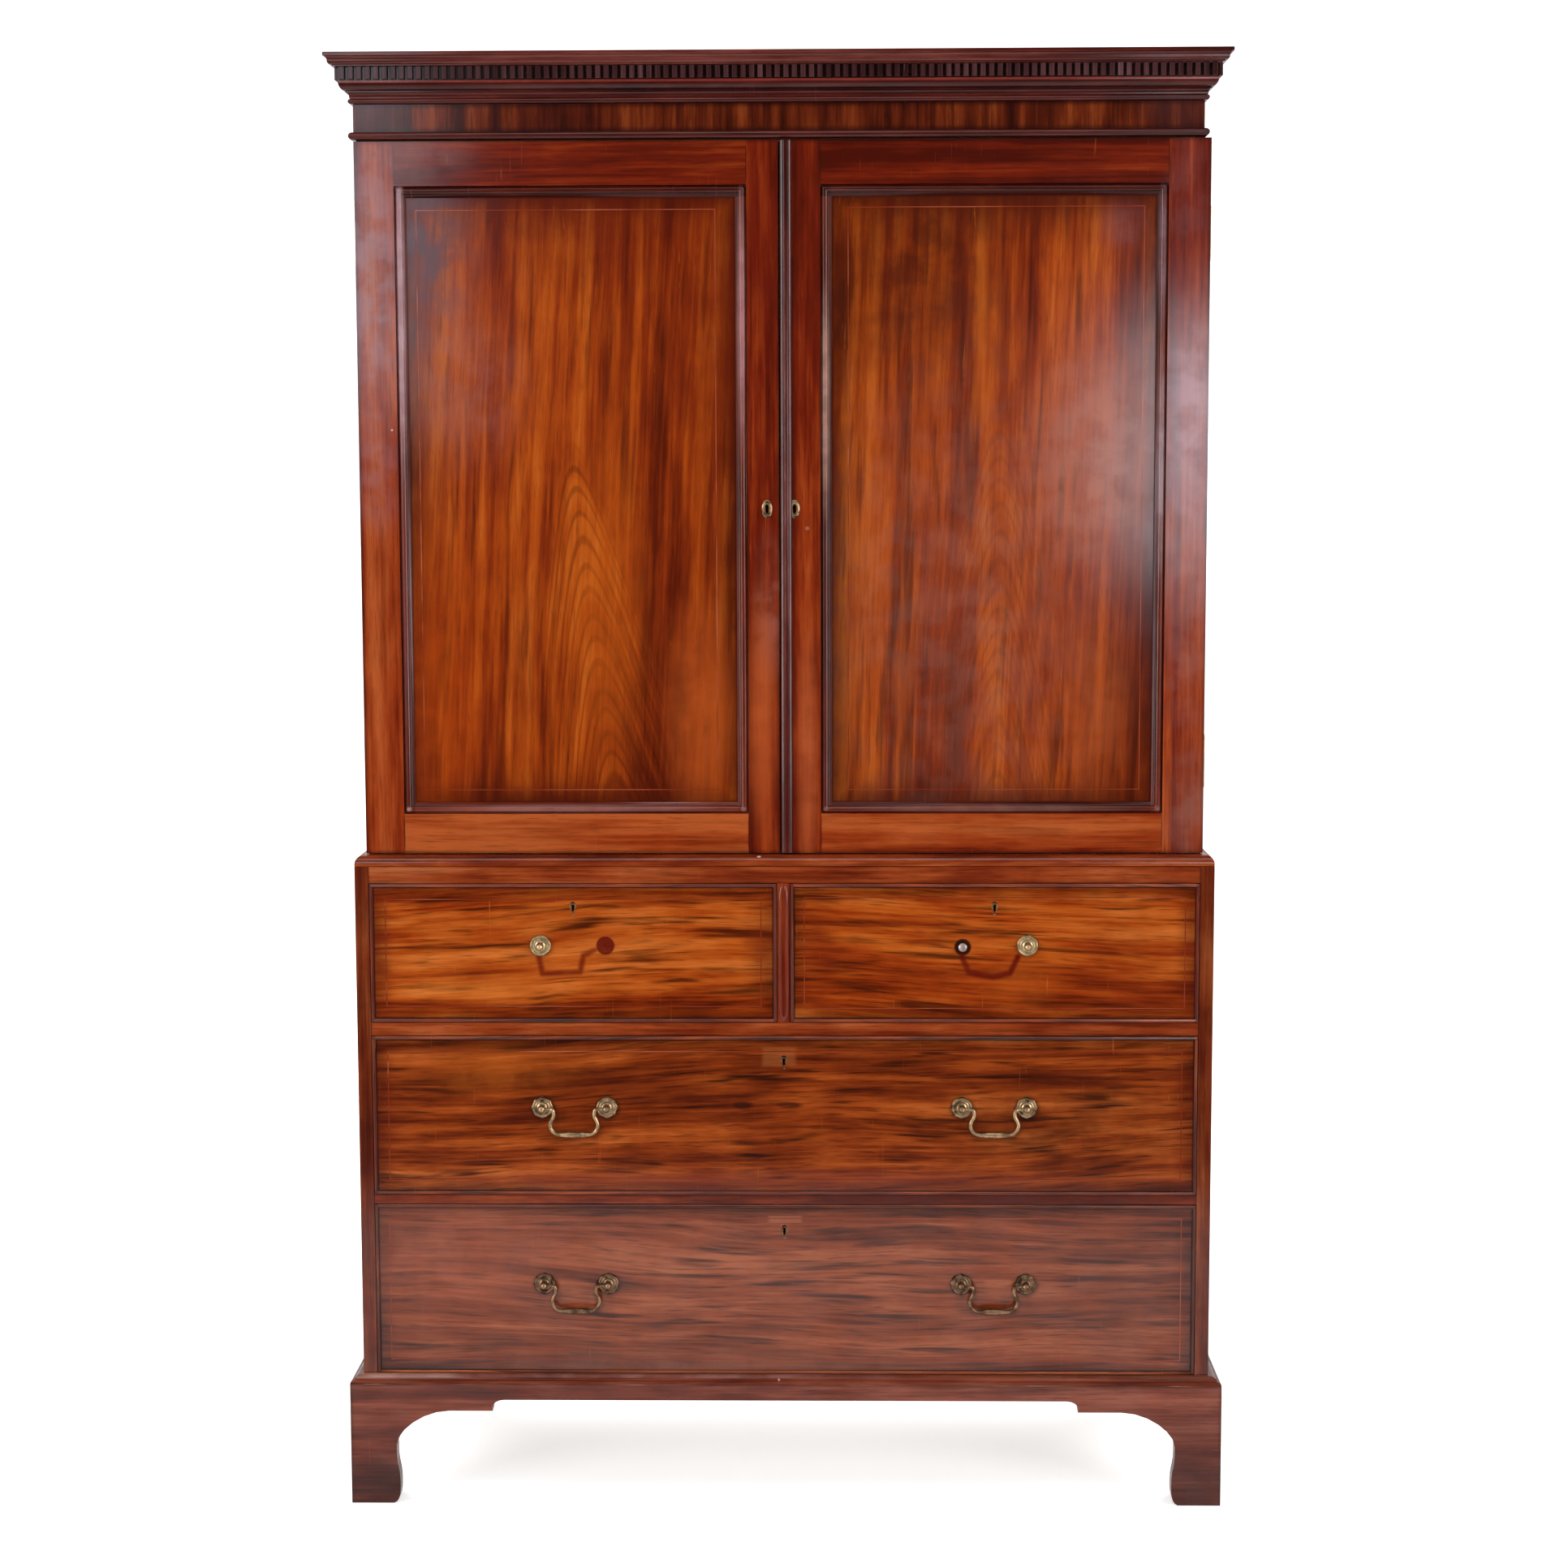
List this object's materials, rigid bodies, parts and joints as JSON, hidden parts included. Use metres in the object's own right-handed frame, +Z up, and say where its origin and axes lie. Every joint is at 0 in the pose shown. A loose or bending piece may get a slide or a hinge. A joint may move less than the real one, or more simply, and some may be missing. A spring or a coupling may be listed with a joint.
{
  "type": "linen press",
  "caption": "Wooden linen press in two stages: a cupboard with framed panel doors and sliding trays on a chest of drawers with swan-neck handles, bracket feet and a dentil cornice.",
  "frame": {"origin": "on the floor, under the middle of the press", "axes": "+Z up, the doors and drawers face -Y, +X to the right as seen from the front"},
  "size_m": [1.2703, 0.5706, 2.08],
  "materials": {
    "mahogany": "french polished, semi-gloss, aged",
    "mahogany_dark": "polished, dark and worn",
    "mahogany_panel": "figured veneer, french polished",
    "drawer_veneer": "figured veneer, polished, faded",
    "oak": "bare, aged",
    "pine": "bare, aged",
    "brass": "aged, dull with worn highlights"
  },
  "bodies": {
    "press": {"plinth_front": "mahogany_dark", "plinth_left": "mahogany_dark", "plinth_right": "mahogany_dark", "lower_side_left": "mahogany", "lower_side_right": "mahogany", "lower_bottom": "pine", "lower_top": "mahogany", "lower_back": "pine", "divider_lower": "mahogany", "divider_upper": "mahogany", "drawer_partition": "mahogany", "waist_moulding": "mahogany_dark", "upper_side_left": "mahogany", "upper_side_right": "mahogany", "upper_bottom": "pine", "upper_top": "pine", "upper_back": "pine", "frieze": "mahogany", "cornice": "mahogany_dark", "hinge_left_lower_case_leaf": "brass", "hinge_left_upper_case_leaf": "brass", "hinge_right_lower_case_leaf": "brass", "hinge_right_upper_case_leaf": "brass"},
    "door_left": {"door_left_frame": "mahogany", "door_left_panel": "mahogany_panel", "door_left_moulding": "mahogany_dark", "hinge_left_lower_door_leaf": "brass", "hinge_left_upper_door_leaf": "brass"},
    "door_right": {"door_right_frame": "mahogany", "door_right_panel": "mahogany_panel", "door_right_moulding": "mahogany_dark", "door_right_astragal": "mahogany", "hinge_right_lower_door_leaf": "brass", "hinge_right_upper_door_leaf": "brass"},
    "drawer_top_left": {"drawer_top_left_front": "drawer_veneer", "drawer_top_left_box": "oak", "rosette_top_left_left_left": "brass"},
    "drawer_top_right": {"drawer_top_right_front": "drawer_veneer", "drawer_top_right_box": "oak", "rosette_top_right_right_right": "brass"},
    "drawer_middle": {"drawer_middle_front": "drawer_veneer", "drawer_middle_box": "oak", "rosette_middle_left_left": "brass", "rosette_middle_left_right": "brass", "rosette_middle_right_left": "brass", "rosette_middle_right_right": "brass"},
    "drawer_low": {"drawer_low_front": "drawer_veneer", "drawer_low_box": "oak", "rosette_low_left_left": "brass", "rosette_low_left_right": "brass", "rosette_low_right_left": "brass", "rosette_low_right_right": "brass"},
    "handle_middle_left": {"bail_middle_left": "brass"},
    "handle_middle_right": {"bail_middle_right": "brass"},
    "handle_low_left": {"bail_low_left": "brass"},
    "handle_low_right": {"bail_low_right": "brass"},
    "tray_1": {"linen_tray_1": "oak"},
    "tray_2": {"linen_tray_2": "oak"},
    "tray_3": {"linen_tray_3": "oak"},
    "tray_4": {"linen_tray_4": "oak"}
  },
  "joints": [
    {"name": "door_left_swing", "type": "hinge", "parent": "press", "child": "door_left", "pos_m": [-0.6012, -0.2292, 1.4575], "axis": [0, 0, -1], "range_deg": [0, 175]},
    {"name": "door_right_swing", "type": "hinge", "parent": "press", "child": "door_right", "pos_m": [0.6012, -0.2292, 1.4575], "axis": [0, 0, 1], "range_deg": [0, 175]},
    {"name": "drawer_top_left_slide", "type": "slide", "parent": "press", "child": "drawer_top_left", "axis": [0, -1, 0], "range_m": [0, 0.4]},
    {"name": "drawer_top_right_slide", "type": "slide", "parent": "press", "child": "drawer_top_right", "axis": [0, -1, 0], "range_m": [0, 0.4]},
    {"name": "drawer_middle_slide", "type": "slide", "parent": "press", "child": "drawer_middle", "axis": [0, -1, 0], "range_m": [0, 0.4]},
    {"name": "drawer_low_slide", "type": "slide", "parent": "press", "child": "drawer_low", "axis": [0, -1, 0], "range_m": [0, 0.4]},
    {"name": "bail_middle_left_swing", "type": "hinge", "parent": "drawer_middle", "child": "handle_middle_left", "pos_m": [-0.303, -0.2802, 0.5859], "axis": [-1, 0, 0], "range_deg": [-12, 95]},
    {"name": "bail_middle_right_swing", "type": "hinge", "parent": "drawer_middle", "child": "handle_middle_right", "pos_m": [0.303, -0.2802, 0.5859], "axis": [-1, 0, 0], "range_deg": [-12, 95]},
    {"name": "bail_low_left_swing", "type": "hinge", "parent": "drawer_low", "child": "handle_low_left", "pos_m": [-0.303, -0.2802, 0.32465], "axis": [-1, 0, 0], "range_deg": [-12, 95]},
    {"name": "bail_low_right_swing", "type": "hinge", "parent": "drawer_low", "child": "handle_low_right", "pos_m": [0.303, -0.2802, 0.32465], "axis": [-1, 0, 0], "range_deg": [-12, 95]},
    {"name": "tray_1_slide", "type": "slide", "parent": "press", "child": "tray_1", "axis": [0, -1, 0], "range_m": [0, 0.05]},
    {"name": "tray_2_slide", "type": "slide", "parent": "press", "child": "tray_2", "axis": [0, -1, 0], "range_m": [0, 0.05]},
    {"name": "tray_3_slide", "type": "slide", "parent": "press", "child": "tray_3", "axis": [0, -1, 0], "range_m": [0, 0.05]},
    {"name": "tray_4_slide", "type": "slide", "parent": "press", "child": "tray_4", "axis": [0, -1, 0], "range_m": [0, 0.05]}
  ]
}
